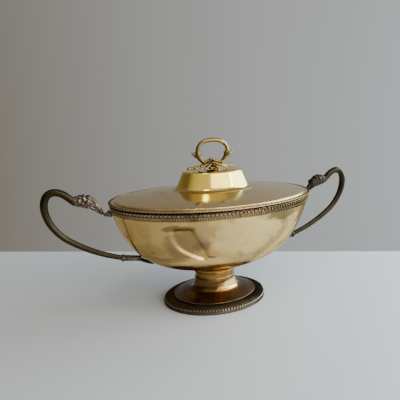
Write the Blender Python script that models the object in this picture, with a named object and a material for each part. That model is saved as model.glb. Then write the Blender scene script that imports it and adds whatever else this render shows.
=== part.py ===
"""Oval two-handled soup tureen on a pedestal foot, with a lift-off lid.

Every physical piece is one closed object.  The frame is metres with +Z up: the origin is the
centre of the foot's underside, +X points along the bowl's long axis to one handle, and the
lid lifts off along +Z.  The numbers below are millimetres, and half sizes are measured from
the middle: "length" runs along X and "width" along Y.
"""
import math

import bmesh
import bpy
from mathutils import Vector

MM = 0.001
GAP = 0.3  # clearance between two pieces that meet

# Facets round the large ovals, the foot and dome ovals, and the cast bars.
OVAL_SIDES = 48
SMALL_OVAL_SIDES = 40
BAR_SIDES = 8
HEAD_SIDES = 10

# Bowl: a deep oval whose section is a superellipse between the rim and the bottom.
BOWL_HALF_LENGTH = 129.5
BOWL_HALF_WIDTH = 84.6
RIM_Z = 137.8
BOWL_BOTTOM_Z = 50.8
BOWL_BELLY = 1.49
BOWL_FULLNESS = 3.75
BOWL_WALL = 1.6
BOWL_FLAT_ANGLE = 87.5  # degrees round the section where the flat of the bottom begins

# Moulding soldered round the outside of the rim.
BEAD_BAND_REACH = 1.7
LEAF_STRIP_REACH = 1.2
BEAD_BAND_TOP_Z = 137.2
BEAD_BAND_LOW_Z = 133.5
LEAF_STRIP_LOW_Z = 129.1

# Foot: one aspect ratio from the collar down to the border.
FOOT_ASPECT = 0.738
FOOT_HALF_LENGTH = 70.0
COLLAR_TOP_Z = BOWL_BOTTOM_Z - GAP
STEM_TOP_Z = 38.0
STEM_HALF_LENGTH = 26.6
STEM_WALL = 1.4
PLATEAU_HALF_LENGTH = 56.4
BORDER_TOP_Z = 8.5
BORDER_LEDGE_Z = 8.2
BORDER_INNER_HALF_LENGTH = 56.0

# Lid: sheet plate, rolled edge, locating flange and raised dome.
LID_HALF_LENGTH = 132.3
LID_HALF_WIDTH = 87.0
LID_LOW_Z = RIM_Z + GAP
LID_EDGE_TOP_Z = 141.5
LID_EDGE_DEPTH = 2.9
LID_SHEET = 1.2
LID_CREST_Z = 149.4
BEZEL_CLEARANCE = 1.0
BEZEL_WALL = 1.4
BEZEL_LOW_Z = 132.6

# The dome's ovals all lie the same distance outside its top oval, so its wall leans evenly.
DOME_TOP_HALF_LENGTH = 40.4
DOME_TOP_HALF_WIDTH = 24.2
DOME_WALL_LEAN = 24.0  # degrees from upright
DOME_FILLET = 8.0
DOME_TOP_Z = 171.9
DOME_EDGE_RADIUS = 2.4
DOME_CROWN = 0.6
DOME_SHEET = 1.2
DOME_LIP = 0.4
DOME_OPENING_INSET = 11.0

# Finial: a cast branch loop held by a stud and nut inside the dome.
STUD_RADIUS = 2.0
STUD_HOLE_RADIUS = 2.4
LOOP_HALF_SPAN = 20.0
LOOP_SHOULDER_Z = 196.5
LOOP_TOP_Z = 209.9
LOOP_BAR_RADIUS = 2.45
LOOP_TOP_BAR_RADIUS = 2.8
FINIAL_BASE_Z = DOME_TOP_Z + DOME_CROWN + GAP

# Handle bar: points of its centre line, (distance from the middle, height), and its radii.
HANDLE_PATH = (
    (171.6, 148.5),
    (180.8, 156.4),
    (189.8, 159.3),
    (197.4, 156.2),
    (201.9, 146.7),
    (200.8, 133.5),
    (195.0, 119.6),
    (183.6, 105.4),
    (165.0, 92.1),
    (143.2, 80.7),
    (121.8, 72.8),
)
HANDLE_RADIUS = 4.25
HANDLE_END_RADIUS = 2.7

# Bird's head and beak, from the neck to the tip: centre line, half height, half width.
# The first section of each turns to face the piece before it.
HEAD_SECTIONS = (
    (171.3, 148.2, 4.3, 4.2),
    (167.0, 147.0, 5.9, 5.4),
    (162.2, 147.0, 7.6, 6.5),
    (156.4, 146.2, 8.2, 6.9),
    (151.0, 143.7, 7.8, 6.3),
    (147.4, 140.6, 5.8, 4.8),
)
BEAK_SECTIONS = (
    (147.0, 140.1, 4.9, 3.8),
    (142.8, 134.9, 2.9, 2.9),
    (138.8, 129.5, 1.5, 1.9),
)

# Bracket under the rim that the beak grips: centre line, half height, half width.
BRACKET_SECTIONS = (
    (136.9, 127.6, 2.0, 2.4),
    (132.4, 127.2, 2.6, 3.0),
    (129.0, 126.2, 2.3, 3.4),
)

# Rope cuff and tapering root under the bowl: centre line, half height, half width.
CUFF_SECTIONS = (
    (121.4, 72.7, 3.9, 3.9),
    (119.4, 72.0, 4.6, 4.6),
    (117.0, 71.5, 3.7, 3.7),
    (108.5, 70.4, 3.5, 3.6),
    (100.6, 69.3, 3.3, 3.5),
)
ROOT_SECTIONS = (
    (100.2, 68.7, 2.7, 3.6),
    (96.6, 66.5, 2.3, 4.6),
    (91.4, 63.6, 1.9, 4.4),
    (86.2, 60.9, 1.4, 3.0),
    (82.6, 59.2, 0.9, 1.4),
)

# Branches of the finial, from the knot outwards: points (x, y, z), radius, tip radius.
TWIGS = {
    "finial_twig_left": (((-9.5, -2.0, 178.4), (-20.0, -3.0, 177.0), (-34.0, -2.0, 175.2)), 2.2, 1.6),
    "finial_twig_right": (((9.5, 2.0, 178.4), (20.0, 3.0, 176.8), (31.4, 2.0, 175.2)), 2.2, 1.6),
    "finial_twig_front_left": (((-3.6, -8.6, 177.2), (-6.4, -13.0, 176.0), (-10.0, -17.0, 175.2)), 2.0, 1.5),
    "finial_twig_front_right": (((3.6, -8.6, 177.2), (7.0, -12.6, 176.0), (12.0, -16.0, 175.2)), 2.0, 1.5),
    "finial_twig_back_left": (((-3.6, 8.6, 177.2), (-7.0, 12.6, 176.0), (-12.0, 16.0, 175.2)), 2.0, 1.5),
    "finial_twig_back_right": (((3.6, 8.6, 177.2), (6.4, 13.0, 176.0), (10.0, 17.0, 175.2)), 2.0, 1.5),
}

# Colours of the metal finishes: base colour and roughness.
SATIN_BRASS = ((0.62, 0.52, 0.30), 0.30)
POLISHED_BRASS = ((0.72, 0.56, 0.24), 0.15)
RED_BRASS = ((0.50, 0.33, 0.14), 0.28)
DARK_BRONZE = ((0.20, 0.15, 0.09), 0.40)
BROWN_PATINA = ((0.16, 0.09, 0.05), 0.38)


def clear_scene():
    """Remove whatever the file starts with."""
    for thing in list(bpy.data.objects):
        bpy.data.objects.remove(thing, do_unlink=True)


def metal(name, finish):
    """Return a new metallic material for one piece."""
    colour, roughness = finish
    material = bpy.data.materials.new(name + "_metal")
    material.use_nodes = True
    shader = material.node_tree.nodes["Principled BSDF"]
    shader.inputs["Base Color"].default_value = (*colour, 1.0)
    shader.inputs["Metallic"].default_value = 1.0
    shader.inputs["Roughness"].default_value = roughness
    return material


def skin(name, finish, rings, closed_section=False, parent=None):
    """Join equal rings of points (mm) into one closed object.

    A closed section joins its last ring to its first, like a tyre.  Otherwise the first and
    the last ring are capped.
    """
    bm = bmesh.new()
    rows = [[bm.verts.new(Vector(point) * MM) for point in ring] for ring in rings]
    pairs = list(zip(rows, rows[1:]))
    if closed_section:
        pairs.append((rows[-1], rows[0]))
    for near, far in pairs:
        for i in range(len(near)):
            j = (i + 1) % len(near)
            bm.faces.new((near[i], near[j], far[j], far[i]))
    if not closed_section:
        bm.faces.new(rows[0])
        bm.faces.new(rows[-1])
    bmesh.ops.recalc_face_normals(bm, faces=bm.faces)
    mesh = bpy.data.meshes.new(name)
    bm.to_mesh(mesh)
    bm.free()
    mesh.shade_smooth()
    mesh.set_sharp_from_angle(angle=math.radians(35))
    mesh.materials.append(metal(name, finish))
    piece = bpy.data.objects.new(name, mesh)
    bpy.context.scene.collection.objects.link(piece)
    piece.parent = parent
    return piece


def oval(half_length, half_width, z, sides=OVAL_SIDES):
    """Return a horizontal ellipse of points."""
    turn = 2 * math.pi / sides
    return [
        (half_length * math.cos(turn * i), half_width * math.sin(turn * i), z)
        for i in range(sides)
    ]


def arc(centre, radius, start, end, steps):
    """Return (half length, z) points along an arc of a section, angles in degrees."""
    points = []
    for k in range(steps + 1):
        angle = math.radians(start + (end - start) * k / steps)
        points.append((centre[0] + radius * math.cos(angle), centre[1] + radius * math.sin(angle)))
    return points


def foot_oval(half_length, z):
    """Return an oval with the foot's aspect ratio."""
    return oval(half_length, half_length * FOOT_ASPECT, z, SMALL_OVAL_SIDES)


def dome_oval(spread, z):
    """Return an oval that lies outside the dome's top oval by spread."""
    return oval(DOME_TOP_HALF_LENGTH + spread, DOME_TOP_HALF_WIDTH + spread, z, SMALL_OVAL_SIDES)


def dome_top_oval(half_width, z):
    """Return an oval of the dome's flat top, from its half width."""
    aspect = DOME_TOP_HALF_LENGTH / DOME_TOP_HALF_WIDTH
    return oval(half_width * aspect, half_width, z, SMALL_OVAL_SIDES)


def dome_spread(base_z):
    """Return how far the foot of the dome's wall, and its outer lip, lie outside the top."""
    lean = math.radians(DOME_WALL_LEAN)
    wall_low_z = base_z + DOME_LIP + DOME_FILLET * (1 - math.sin(lean))
    wall = (DOME_TOP_Z - DOME_EDGE_RADIUS - wall_low_z) * math.tan(lean)
    return wall, wall + DOME_FILLET * math.cos(lean)


def bowl_ovals(inset, steps):
    """Return the bowl's ovals from the rim down, moved in from the outside by inset."""
    depth = RIM_Z - BOWL_BOTTOM_Z - inset
    rings = []
    for k in range(steps + 1):
        angle = math.radians(BOWL_FLAT_ANGLE) * k / steps
        spread = math.cos(angle) ** (2 / BOWL_FULLNESS)
        z = RIM_Z - depth * math.sin(angle) ** (2 / BOWL_BELLY)
        half_length = (BOWL_HALF_LENGTH - inset) * spread
        half_width = (BOWL_HALF_WIDTH - inset) * spread
        rings.append(oval(half_length, half_width, z))
    return rings


def bowl_spread(z):
    """Return how wide the outside of the bowl is at a height, as a share of the rim."""
    depth_share = (RIM_Z - z) / (RIM_Z - BOWL_BOTTOM_Z)
    return (1 - depth_share ** BOWL_BELLY) ** (1 / BOWL_FULLNESS)


def round_wall(reach, z):
    """Return an oval that stands off the outside of the bowl wall by reach."""
    spread = bowl_spread(z)
    return oval(BOWL_HALF_LENGTH * spread + reach, BOWL_HALF_WIDTH * spread + reach, z)


def build_bowl():
    """Make the raised bowl and the moulding round its rim."""
    inside = bowl_ovals(BOWL_WALL, 8)
    outside = bowl_ovals(0.0, 10)
    skin("bowl_shell", SATIN_BRASS, inside[::-1] + outside)

    strip_z = (BEAD_BAND_LOW_Z + LEAF_STRIP_LOW_Z) / 2
    section = (
        (GAP, BEAD_BAND_TOP_Z),
        (BEAD_BAND_REACH, BEAD_BAND_TOP_Z),
        (BEAD_BAND_REACH, BEAD_BAND_LOW_Z),
        (LEAF_STRIP_REACH + GAP, strip_z),
        (LEAF_STRIP_REACH, LEAF_STRIP_LOW_Z),
        (GAP, LEAF_STRIP_LOW_Z),
    )
    rings = [round_wall(reach, z) for reach, z in section]
    skin("bowl_rim_moulding", SATIN_BRASS, rings, closed_section=True)


def build_foot():
    """Make the collar under the bowl, the hollow pedestal and the border it stands on."""
    collar = (
        (30.0, COLLAR_TOP_Z),
        (30.8, 49.3),
        (30.0, 47.8),
        (27.8, 45.4),
        (26.8, 43.0),
        (27.2, 41.4),
        (28.6, 40.6),
        (28.9, 39.6),
        (28.0, STEM_TOP_Z + GAP),
    )
    skin("pedestal_collar", RED_BRASS, [foot_oval(a, z) for a, z in collar])

    outside = [
        (STEM_HALF_LENGTH, STEM_TOP_Z),
        (STEM_HALF_LENGTH - 0.2, 34.0),
        (STEM_HALF_LENGTH + 0.9, 31.8),
        (STEM_HALF_LENGTH + 0.7, 30.4),
        (28.4, 24.0),
        (29.8, 18.8),
        (32.8, 15.4),
        (37.0, 13.8),
        (46.0, 12.7),
        (PLATEAU_HALF_LENGTH - 2.0, 11.3),
        (PLATEAU_HALF_LENGTH - 0.6, 11.1),
        (PLATEAU_HALF_LENGTH, 10.1),
        (PLATEAU_HALF_LENGTH - 0.4, BORDER_LEDGE_Z + GAP),
    ]
    inside = [
        (PLATEAU_HALF_LENGTH - 2.2, BORDER_LEDGE_Z + GAP),
        (PLATEAU_HALF_LENGTH - 3.0, 9.9),
        (46.0, 12.7 - STEM_WALL),
        (36.6, 13.8 - STEM_WALL),
        (31.6, 14.4),
        (29.8 - STEM_WALL, 18.6),
        (28.4 - STEM_WALL, 24.0),
        (STEM_HALF_LENGTH - 0.2 - STEM_WALL, 34.0),
        (STEM_HALF_LENGTH - STEM_WALL, STEM_TOP_Z - STEM_WALL),
    ]
    skin("pedestal", RED_BRASS, [foot_oval(a, z) for a, z in outside + inside])

    inner = BORDER_INNER_HALF_LENGTH
    border = (
        (inner, 0.0),
        (FOOT_HALF_LENGTH - 0.4, 0.0),
        (FOOT_HALF_LENGTH, 1.0),
        (FOOT_HALF_LENGTH - 0.8, 2.2),
        (FOOT_HALF_LENGTH - 0.9, 6.4),
        (FOOT_HALF_LENGTH - 2.4, BORDER_TOP_Z),
        (62.0, 7.8),
        (PLATEAU_HALF_LENGTH + 1.2, BORDER_LEDGE_Z),
        (PLATEAU_HALF_LENGTH - 2.8, BORDER_LEDGE_Z),
        (PLATEAU_HALF_LENGTH - 2.8, 6.8),
        (inner, 5.4),
    )
    rings = [foot_oval(a, z) for a, z in border]
    skin("foot_border", BROWN_PATINA, rings, closed_section=True)


def lid_oval(share, spread, z):
    """Return a lid oval part of the way (share) from the dome's lip oval out to the edge."""
    inner_length = DOME_TOP_HALF_LENGTH + spread
    inner_width = DOME_TOP_HALF_WIDTH + spread
    half_length = inner_length + (LID_HALF_LENGTH - inner_length) * share
    return oval(half_length, inner_width + (LID_HALF_WIDTH - inner_width) * share, z)


def lid_edge_oval(inset, z):
    """Return an oval set in from the lid's edge by the same amount all round."""
    return oval(LID_HALF_LENGTH - inset, LID_HALF_WIDTH - inset, z)


def build_lid(lid):
    """Make the lid's plate, rolled edge, locating flange and dome."""
    base_z = LID_CREST_Z + 0.1 + GAP
    wall_spread, lip_spread = dome_spread(base_z)
    opening_spread = lip_spread - DOME_OPENING_INSET
    middle, middle_z = 0.42, 146.7
    plate_inset = LID_EDGE_DEPTH + GAP
    step_inset = 7.2
    top = [
        lid_edge_oval(plate_inset, 141.1),
        lid_edge_oval(step_inset, 141.3),
        lid_edge_oval(step_inset + 0.5, 142.2),
        lid_edge_oval(step_inset + 1.8, 142.4),
        lid_oval(middle, lip_spread, middle_z),
        lid_oval(0.0, lip_spread, LID_CREST_Z),
        lid_oval(0.0, opening_spread, LID_CREST_Z + 0.1),
    ]
    underside = [
        lid_oval(0.0, opening_spread, LID_CREST_Z - LID_SHEET),
        lid_oval(middle, lip_spread, middle_z - LID_SHEET),
        lid_edge_oval(step_inset, 141.3 - LID_SHEET),
        lid_edge_oval(plate_inset, 141.1 - LID_SHEET),
    ]
    skin("lid_plate", SATIN_BRASS, top + underside, closed_section=True, parent=lid)

    depth = LID_EDGE_DEPTH
    edge = (
        (depth, LID_LOW_Z),
        (1.0, LID_LOW_Z),
        (0.0, LID_LOW_Z + 1.1),
        (0.0, LID_EDGE_TOP_Z - 1.0),
        (0.9, LID_EDGE_TOP_Z),
        (depth, LID_EDGE_TOP_Z),
    )
    rings = [lid_edge_oval(inset, z) for inset, z in edge]
    skin("lid_rolled_edge", SATIN_BRASS, rings, closed_section=True, parent=lid)

    outer = BOWL_WALL + BEZEL_CLEARANCE
    bezel_top = 141.3 - LID_SHEET - 2 * GAP
    section = (
        (outer, bezel_top),
        (outer, BEZEL_LOW_Z),
        (outer + BEZEL_WALL, BEZEL_LOW_Z),
        (outer + BEZEL_WALL, bezel_top),
    )
    rings = [oval(BOWL_HALF_LENGTH - inset, BOWL_HALF_WIDTH - inset, z) for inset, z in section]
    skin("lid_bezel", SATIN_BRASS, rings, closed_section=True, parent=lid)

    fillet_centre = (lip_spread, base_z + DOME_LIP + DOME_FILLET)
    edge_centre = (-DOME_EDGE_RADIUS, DOME_TOP_Z - DOME_EDGE_RADIUS)
    crown_z = DOME_TOP_Z + DOME_CROWN
    outside = [
        dome_top_oval(STUD_HOLE_RADIUS, crown_z),
        dome_top_oval(DOME_TOP_HALF_WIDTH * 0.6, DOME_TOP_Z + DOME_CROWN * 0.6),
    ]
    outside += [dome_oval(d, z) for d, z in arc(edge_centre, DOME_EDGE_RADIUS, 90, 10, 3)]
    steep = 180 + DOME_WALL_LEAN
    outside += [dome_oval(d, z) for d, z in arc(fillet_centre, DOME_FILLET, steep, 270, 4)]
    inside = [
        dome_oval(lip_spread, base_z),
        dome_oval(wall_spread + 2.0, base_z + 1.0),
        dome_oval(wall_spread - DOME_SHEET, base_z + DOME_FILLET * 0.6),
        dome_oval(-DOME_SHEET, DOME_TOP_Z - DOME_EDGE_RADIUS),
        dome_oval(-DOME_EDGE_RADIUS - 0.6, DOME_TOP_Z - DOME_SHEET),
        dome_top_oval(STUD_HOLE_RADIUS, crown_z - DOME_SHEET),
    ]
    rings = outside + inside
    skin("lid_dome", POLISHED_BRASS, rings, closed_section=True, parent=lid)


def smooth_path(points, steps):
    """Return points of a Catmull-Rom curve through the given ones."""
    knots = [Vector(point) for point in points]
    knots = [2 * knots[0] - knots[1]] + knots + [2 * knots[-1] - knots[-2]]
    path = []
    for a, b, c, d in zip(knots, knots[1:], knots[2:], knots[3:]):
        for k in range(steps):
            t = k / steps
            path.append(
                0.5 * (2 * b + (c - a) * t + (2 * a - 5 * b + 4 * c - d) * t * t
                       + (3 * b - 3 * c + d - a) * t ** 3)
            )
    path.append(knots[-2])
    return path


def bar_rings(path, half_heights, half_widths, sides=BAR_SIDES, first_heading=None):
    """Return rings round a path, the half width measured along the horizontal across it."""
    rings = []
    last_across = Vector((0, 1, 0))
    for i, centre in enumerate(path):
        ahead = path[min(i + 1, len(path) - 1)] - path[max(i - 1, 0)]
        if i == 0 and first_heading is not None:
            ahead = first_heading
        across = Vector((-ahead.y, ahead.x, 0.0))
        across = last_across if across.length < 1e-6 else across.normalized()
        if across.dot(last_across) < 0:
            across = -across
        last_across = across
        upward = ahead.cross(across).normalized()
        ring = []
        for k in range(sides):
            angle = 2 * math.pi * (k + 0.5) / sides
            ring.append(
                centre
                + across * (half_widths[i] * math.cos(angle))
                + upward * (half_heights[i] * math.sin(angle))
            )
        rings.append(ring)
    return rings


def section_rings(sections, side, sides=BAR_SIDES, after=None):
    """Return rings for (x, z, half height, half width) sections in the handle's plane.

    after holds the sections of the piece before: the first ring then stands parallel to
    that piece's end, just clear of it.
    """
    path = [Vector((side * x, 0.0, z)) for x, z, _, _ in sections]
    half_heights = [height for _, _, height, _ in sections]
    half_widths = [width for _, _, _, width in sections]
    heading = None
    if after is not None:
        before, end = (Vector((side * x, 0.0, z)) for x, z, *_ in after[-2:])
        heading = (end - before).normalized()
        path[0] = end + heading * (GAP + 0.05)
    return bar_rings(path, half_heights, half_widths, sides, heading)


def build_handle(name, side):
    """Make one cast handle: bar, bird's head, beak, rim bracket, rope cuff and root."""
    points = [(side * x, 0.0, z) for x, z in HANDLE_PATH]
    path = smooth_path(points, 3)
    last = len(path) - 1
    radii = []
    for i in range(last + 1):
        share = max(0.0, i / last - 0.45) / 0.55
        radii.append(HANDLE_RADIUS + (HANDLE_END_RADIUS - HANDLE_RADIUS) * share)
    skin("handle_bar_" + name, DARK_BRONZE, bar_rings(path, radii, radii))
    pieces = (
        ("handle_head_", DARK_BRONZE, HEAD_SECTIONS, HEAD_SIDES, HANDLE_PATH[::-1]),
        ("handle_beak_", DARK_BRONZE, BEAK_SECTIONS, BAR_SIDES, HEAD_SECTIONS),
        ("rim_bracket_", RED_BRASS, BRACKET_SECTIONS, BAR_SIDES, None),
        ("rope_cuff_", DARK_BRONZE, CUFF_SECTIONS, HEAD_SIDES, HANDLE_PATH),
        ("handle_root_", DARK_BRONZE, ROOT_SECTIONS, BAR_SIDES, CUFF_SECTIONS),
    )
    for prefix, finish, sections, sides, after in pieces:
        skin(prefix + name, finish, section_rings(sections, side, sides, after))


def build_finial(lid):
    """Make the branch loop, its leaf sheaths, the knot of twigs and the fastening."""
    arch = []
    steps = 16
    for k in range(steps + 1):
        angle = math.pi * k / steps
        span = LOOP_HALF_SPAN * math.copysign(abs(math.cos(angle)) ** 0.85, math.cos(angle))
        rise = LOOP_TOP_Z - LOOP_SHOULDER_Z
        arch.append(Vector((span, 0.0, LOOP_SHOULDER_Z + rise * math.sin(angle))))
    radii = [
        LOOP_BAR_RADIUS + (LOOP_TOP_BAR_RADIUS - LOOP_BAR_RADIUS) * math.sin(math.pi * k / steps)
        for k in range(steps + 1)
    ]
    skin("finial_loop", POLISHED_BRASS, bar_rings(arch, radii, radii), parent=lid)

    for name, side in (("left", -1), ("right", 1)):
        leaf = (
            (LOOP_HALF_SPAN + 0.6, LOOP_SHOULDER_Z - 1.6, 6.2, 1.6),
            (LOOP_HALF_SPAN + 0.5, LOOP_SHOULDER_Z - 3.4, 5.2, 3.2),
            (LOOP_HALF_SPAN - 1.6, 189.4, 3.4, 3.4),
            (LOOP_HALF_SPAN - 4.9, 185.2, 2.4, 2.6),
            (LOOP_HALF_SPAN - 8.6, 181.7, 1.9, 2.2),
        )
        rings = section_rings(leaf, side)
        skin("finial_leaf_" + name, POLISHED_BRASS, rings, parent=lid)

    knot = (
        (9.0, FINIAL_BASE_Z),
        (11.0, FINIAL_BASE_Z + 1.6),
        (9.2, FINIAL_BASE_Z + 4.6),
        (5.0, FINIAL_BASE_Z + 7.2),
        (2.4, FINIAL_BASE_Z + 12.0),
        (1.2, FINIAL_BASE_Z + 14.0),
    )
    rings = [oval(a, a * 0.72, z, 12) for a, z in knot]
    skin("finial_knot", POLISHED_BRASS, rings, parent=lid)

    for name, (points, radius, tip_radius) in TWIGS.items():
        path = smooth_path(points, 2)
        count = len(path)
        radii = [radius + (tip_radius - radius) * k / (count - 1) for k in range(count)]
        skin(name, POLISHED_BRASS, bar_rings(path, radii, radii, 6), parent=lid)

    under_top = DOME_TOP_Z + DOME_CROWN - DOME_SHEET - GAP
    washer_low = under_top - 1.0
    nut_top = washer_low - GAP
    nut_low = nut_top - 3.2
    hole = STUD_RADIUS + GAP
    washer = [(hole, under_top), (6.0, under_top), (6.0, washer_low), (hole, washer_low)]
    nut = [(hole, nut_top), (4.0, nut_top), (4.0, nut_low), (hole, nut_low)]
    stud = [(STUD_RADIUS, nut_low - 1.5), (STUD_RADIUS, FINIAL_BASE_Z - GAP)]
    rings = [oval(r, r, z, 12) for r, z in washer]
    skin("finial_washer", SATIN_BRASS, rings, closed_section=True, parent=lid)
    rings = [oval(r, r, z, 6) for r, z in nut]
    skin("finial_nut", SATIN_BRASS, rings, closed_section=True, parent=lid)
    skin("finial_stud", SATIN_BRASS, [oval(r, r, z, 12) for r, z in stud], parent=lid)


def build_tureen():
    """Make the whole tureen; the lid's pieces share an empty on the axis they lift along."""
    clear_scene()
    build_bowl()
    build_foot()
    for name, side in (("left", -1), ("right", 1)):
        build_handle(name, side)
    lid = bpy.data.objects.new("lid", None)
    bpy.context.scene.collection.objects.link(lid)
    build_lid(lid)
    build_finial(lid)


build_tureen()
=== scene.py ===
"""Looks of the oval soup tureen: fine geometry, metal finishes, light and camera.

Lengths below are millimetres in the frame's axes (+X along the bowl, +Z up) and become metres
when a piece is made.  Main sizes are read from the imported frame; the rest is fine detail.
"""

import math

import bmesh
import bpy
import numpy as np
from mathutils import Matrix, Vector, noise


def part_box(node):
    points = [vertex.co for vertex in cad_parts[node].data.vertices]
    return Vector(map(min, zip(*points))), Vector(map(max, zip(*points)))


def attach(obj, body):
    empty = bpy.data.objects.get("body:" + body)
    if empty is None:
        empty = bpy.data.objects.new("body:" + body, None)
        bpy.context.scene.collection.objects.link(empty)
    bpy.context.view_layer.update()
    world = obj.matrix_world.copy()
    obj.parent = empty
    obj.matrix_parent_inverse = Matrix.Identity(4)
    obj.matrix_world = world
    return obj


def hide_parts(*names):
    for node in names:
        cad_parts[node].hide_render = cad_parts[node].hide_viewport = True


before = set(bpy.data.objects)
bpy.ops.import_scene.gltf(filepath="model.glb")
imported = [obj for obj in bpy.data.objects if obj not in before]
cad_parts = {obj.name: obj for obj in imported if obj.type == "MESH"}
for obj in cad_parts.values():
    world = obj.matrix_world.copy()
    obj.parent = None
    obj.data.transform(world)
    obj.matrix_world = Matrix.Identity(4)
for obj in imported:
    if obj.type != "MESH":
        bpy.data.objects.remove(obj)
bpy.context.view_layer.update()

MM = 0.001
UP = Vector((0, 0, 1))


def corner(node):
    """Return a node's highest corner at rest in millimetres."""
    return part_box(node)[1] / MM


def foot_of(node):
    """Return a node's lowest corner at rest in millimetres."""
    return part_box(node)[0] / MM


# Sizes read from the frame: half lengths along X, half widths along Y, and heights.
BOWL_LENGTH, BOWL_WIDTH, RIM_Z = corner("bowl_shell")
BOWL_LOW = foot_of("bowl_shell").z
MOULDING_LENGTH = corner("bowl_rim_moulding").x
LID_LENGTH, LID_WIDTH, LID_EDGE_TOP = corner("lid_rolled_edge")
LID_EDGE_LOW = foot_of("lid_rolled_edge").z
BEZEL_LENGTH, BEZEL_WIDTH, BEZEL_TOP = corner("lid_bezel")
BEZEL_LOW = foot_of("lid_bezel").z
PLATE_LOW_EDGE = foot_of("lid_plate").z
DOME_LENGTH, DOME_WIDTH, DOME_CROWN_Z = corner("lid_dome")
DOME_BASE_Z = foot_of("lid_dome").z
FOOT_LENGTH, FOOT_WIDTH, _ = corner("foot_border")
PLATEAU_LENGTH, _, STEM_TOP = corner("pedestal")
PLATEAU_LOW = foot_of("pedestal").z
COLLAR_LENGTH, _, COLLAR_TOP = corner("pedestal_collar")
LOOP_TOP = corner("finial_loop").z

# Fineness of the meshes: points round a ring.
BOWL_SIDES = 400
BIG_SIDES = 256
SMALL_SIDES = 192
BAR_SIDES = 28

# The bowl's section is a rounded curve with these powers; then the thickness of its sheet.
BOWL_BELLY = 1.49
BOWL_FULLNESS = 3.75
BOWL_WALL = 1.6
# Its mesh runs between these angles round the section, in so many rings.
SECTION_ANGLES = (2.5, 88.8)
SECTION_RINGS = 120

# Repeated ornament: how many, how big and how high up.
RIM_BEADS = 150
RIM_BEAD_RADIUS = 1.5
RIM_BEAD_Z = 135.4
LEAVES = 230
LEAF_Z = 131.5
LEAF_RADII = (0.75, 0.9, 1.8)
LID_NOTCHES = 226
FOOT_BEADS = 94
FOOT_BEAD_RADIUS = 1.5
FOOT_BEAD_Z = 4.4


# ---------------- mesh helpers


def skin(rings, closed_section=False):
    """Return points and faces that join equal rings; open sections get their ends capped."""
    rings = np.asarray([[tuple(p) for p in ring] for ring in rings], dtype=float)
    rows, sides = rings.shape[:2]
    index = np.arange(rows * sides).reshape(rows, sides)
    near = index if closed_section else index[:-1]
    far = np.roll(index, -1, axis=0) if closed_section else index[1:]
    quads = np.stack([near, np.roll(near, -1, axis=1), np.roll(far, -1, axis=1), far], axis=-1)
    faces = [tuple(quad) for quad in quads.reshape(-1, 4).tolist()]
    if not closed_section:
        faces.append(tuple(index[0].tolist()))
        faces.append(tuple(index[-1].tolist()))
    return rings.reshape(-1, 3), faces


def joined(parts):
    """Return several (points, faces) shapes as one."""
    points, faces, start = [], [], 0
    for part_points, part_faces in parts:
        points.append(np.asarray(part_points, dtype=float))
        faces += [tuple(i + start for i in face) for face in part_faces]
        start += len(part_points)
    return np.concatenate(points), faces


def solid(name, points, faces):
    """Return an object of points in millimetres and faces, with its normals outwards."""
    mesh = bpy.data.meshes.new(name)
    mesh.from_pydata((points * MM).tolist(), [], faces)
    bm = bmesh.new()
    bm.from_mesh(mesh)
    bmesh.ops.recalc_face_normals(bm, faces=bm.faces)
    bm.to_mesh(mesh)
    bm.free()
    made = bpy.data.objects.new(name, mesh)
    bpy.context.scene.collection.objects.link(made)
    return made


def piece(name, parts, material, body, replaces, sharp=50, voxel=0, smoothing=0):
    """Make one visible piece from shapes in millimetres and tie it to the frame.

    A voxel size fuses the shapes into one cast skin, which smoothing then softens.
    """
    made = solid(name, *joined(parts))
    mesh = made.data
    if voxel:
        remesh = made.modifiers.new("fuse", "REMESH")
        remesh.mode = "VOXEL"
        remesh.voxel_size = voxel * MM
        soften = made.modifiers.new("soften", "SMOOTH")
        soften.factor = 0.5
        soften.iterations = smoothing
        graph = bpy.context.evaluated_depsgraph_get()
        mesh = bpy.data.meshes.new_from_object(made.evaluated_get(graph))
        mesh.name = name + "_cast"
        made.modifiers.clear()
        made.data = mesh
    mesh.shade_smooth()
    if not voxel:
        mesh.set_sharp_from_angle(angle=math.radians(sharp))
    mesh.materials.clear()
    mesh.materials.append(material)
    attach(made, body)
    if replaces:
        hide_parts(*replaces)
    return made


def turns(count):
    """Return angles spread evenly round a full turn."""
    return np.arange(count) * 2 * math.pi / count


def oval(length, width, z, sides=BIG_SIDES):
    """Return a horizontal ellipse from its half length and half width."""
    turn = turns(sides)
    return np.stack([length * np.cos(turn), width * np.sin(turn), np.full(sides, z)], axis=1)


def ring_round(centre, across, upward, wide, high, sides):
    """Return an ellipse round a centre from two directions and its half sizes along them."""
    return [
        centre + across * (wide * math.cos(a)) + upward * (high * math.sin(a))
        for a in turns(sides)
    ]


def headings(path):
    """Return the way ahead at each point of a path."""
    return [end - start for start, end in zip(path[:1] + path, path[1:] + path[-1:])]


def smooth(points, steps):
    """Return a Catmull-Rom curve through points of any dimension."""
    knots = [np.array(p, dtype=float) for p in points]
    knots = [2 * knots[0] - knots[1]] + knots + [2 * knots[-1] - knots[-2]]
    line = []
    for a, b, c, d in zip(knots, knots[1:], knots[2:], knots[3:]):
        for t in np.arange(steps) / steps:
            bend = (2 * a - 5 * b + 4 * c - d) * t ** 2 + (3 * b - 3 * c + d - a) * t ** 3
            line.append(0.5 * (2 * b + (c - a) * t + bend))
    line.append(knots[-2])
    return np.array(line)


def taper(path, shares, radii):
    """Return a radius for each point of a path, given the radii at a few shares of its way."""
    return np.interp(np.linspace(0, 1, len(path)), shares, radii)


def arc(centre, radius, start, end, steps):
    """Return (distance, z) points of an arc, angles in degrees."""
    angles = np.radians(np.linspace(start, end, steps + 1))
    return [(centre[0] + radius * math.cos(a), centre[1] + radius * math.sin(a)) for a in angles]


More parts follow.
